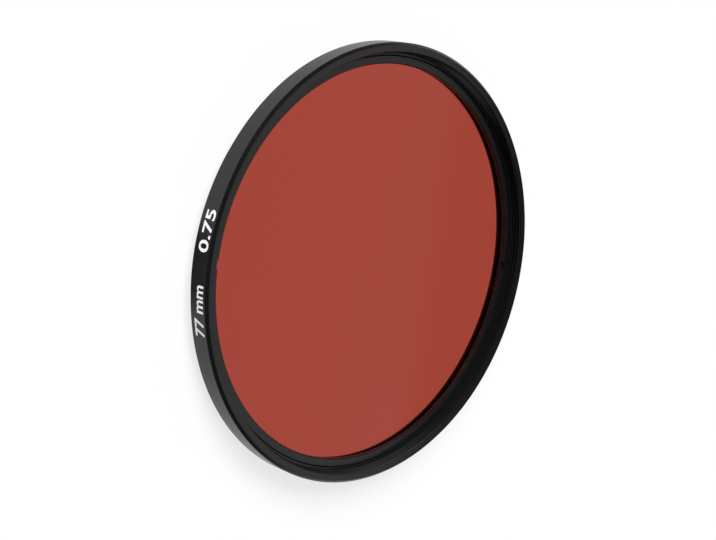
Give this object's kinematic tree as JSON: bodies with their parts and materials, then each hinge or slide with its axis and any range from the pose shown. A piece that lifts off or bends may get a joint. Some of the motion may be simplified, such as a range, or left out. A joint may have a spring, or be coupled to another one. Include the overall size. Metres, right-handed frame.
{
  "type": "contrast filter",
  "caption": "Screw-in camera lens filter: a red dyed glass disc held by a slotted retaining ring in a black threaded mount ring.",
  "frame": {"origin": "on the optical axis, in the plane of the rear end face of the lens thread, on which the filter lies", "axes": "+Z along the optical axis, from the lens side towards the front; +X through one of the retaining ring's spanner slots"},
  "size_m": [0.08, 0.08, 0.0064],
  "materials": {
    "black_anodised": "black anodised, satin, finely turned",
    "red_glass": "polished optical glass, dyed red in the mass",
    "white_print": "white ink, printed on the rim"
  },
  "bodies": {
    "root": {"mount_ring": "black_anodised", "filter_glass": "red_glass", "retaining_ring": "black_anodised"}
  },
  "joints": []
}
